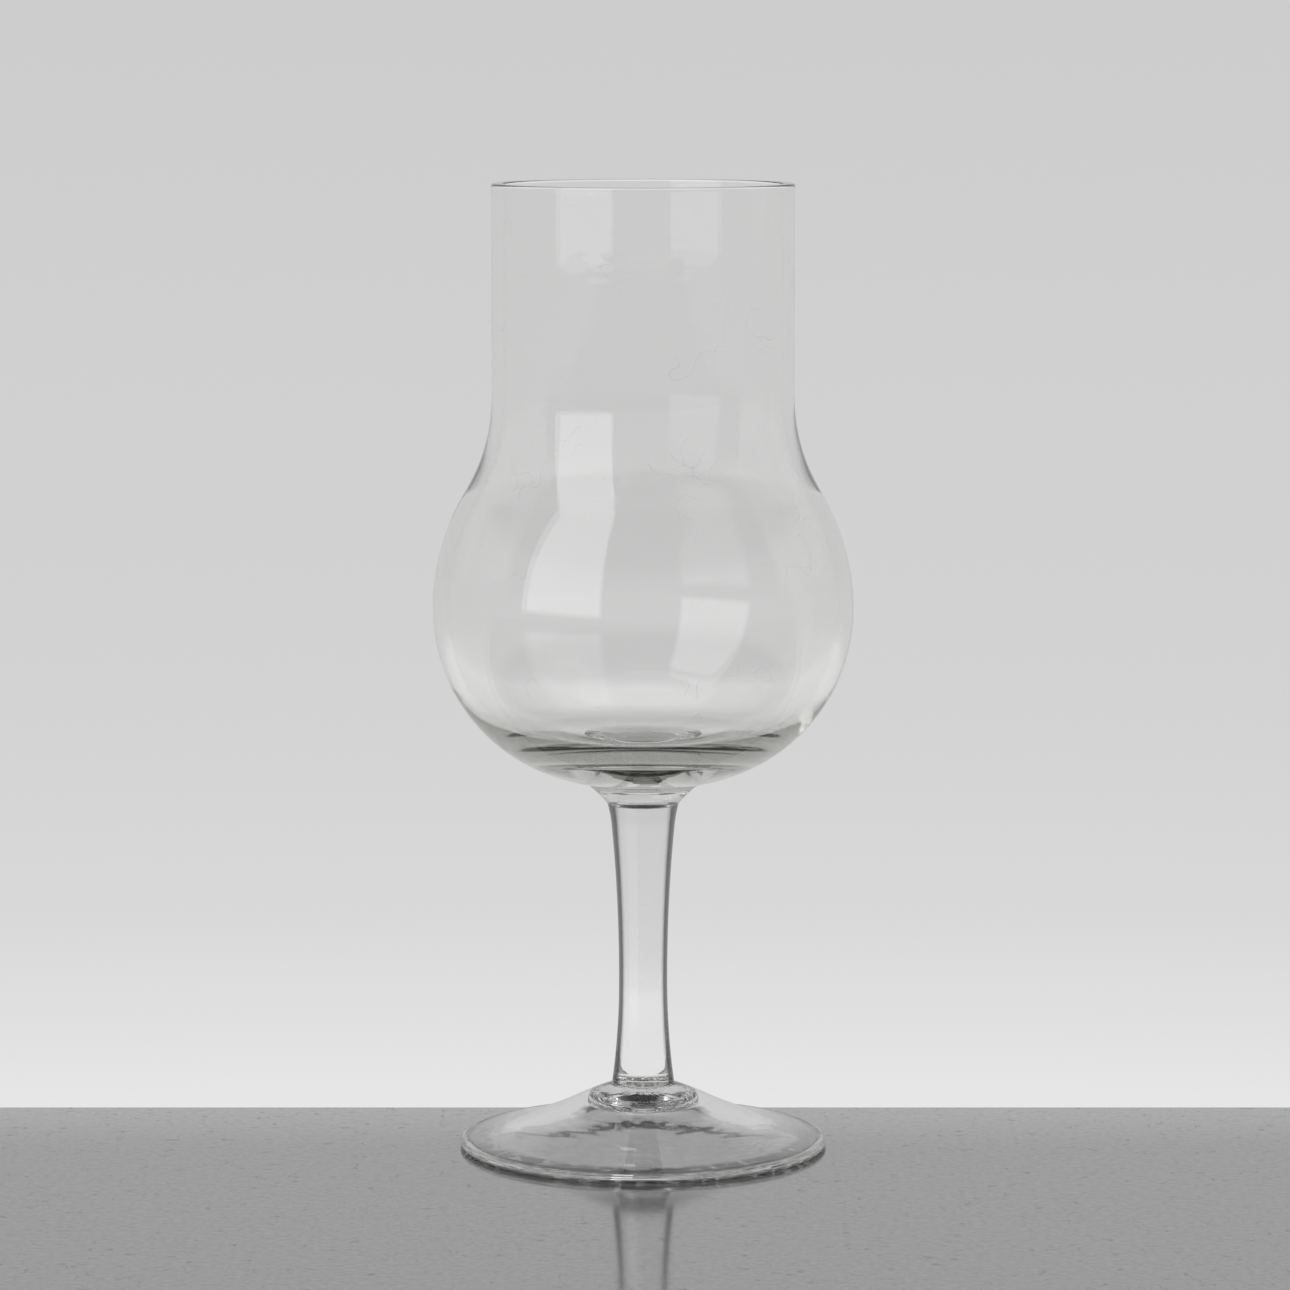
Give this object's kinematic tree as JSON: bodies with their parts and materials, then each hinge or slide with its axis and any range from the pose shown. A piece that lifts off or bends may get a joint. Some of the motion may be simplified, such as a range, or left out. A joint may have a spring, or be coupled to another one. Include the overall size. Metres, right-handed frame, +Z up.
{
  "type": "wine tasting glass",
  "caption": "Stemmed wine tasting glass with an onion-shaped bowl, a straight chimney, a short waisted stem and a thin flared foot.",
  "frame": {"origin": "centre of the flat ring that the foot rests on", "axes": "+Z up along the glass's axis, from the foot to the lip; the glass is round, so +X and +Y are any two square directions"},
  "size_m": [0.0672, 0.0672, 0.155],
  "materials": {
    "bowl_glass": "clear blown glass, fire-polished lip",
    "collar_glass": "clear glass gather, fused to the bowl",
    "stem_glass": "clear solid drawn glass",
    "button_glass": "clear glass gather with a ring of trapped air and small bubbles round its seam",
    "foot_glass": "clear spun glass with a slightly wavy surface"
  },
  "bodies": {
    "root": {"foot": "foot_glass", "foot_button": "button_glass", "stem": "stem_glass", "bowl_collar": "collar_glass", "bowl": "bowl_glass"}
  },
  "joints": []
}
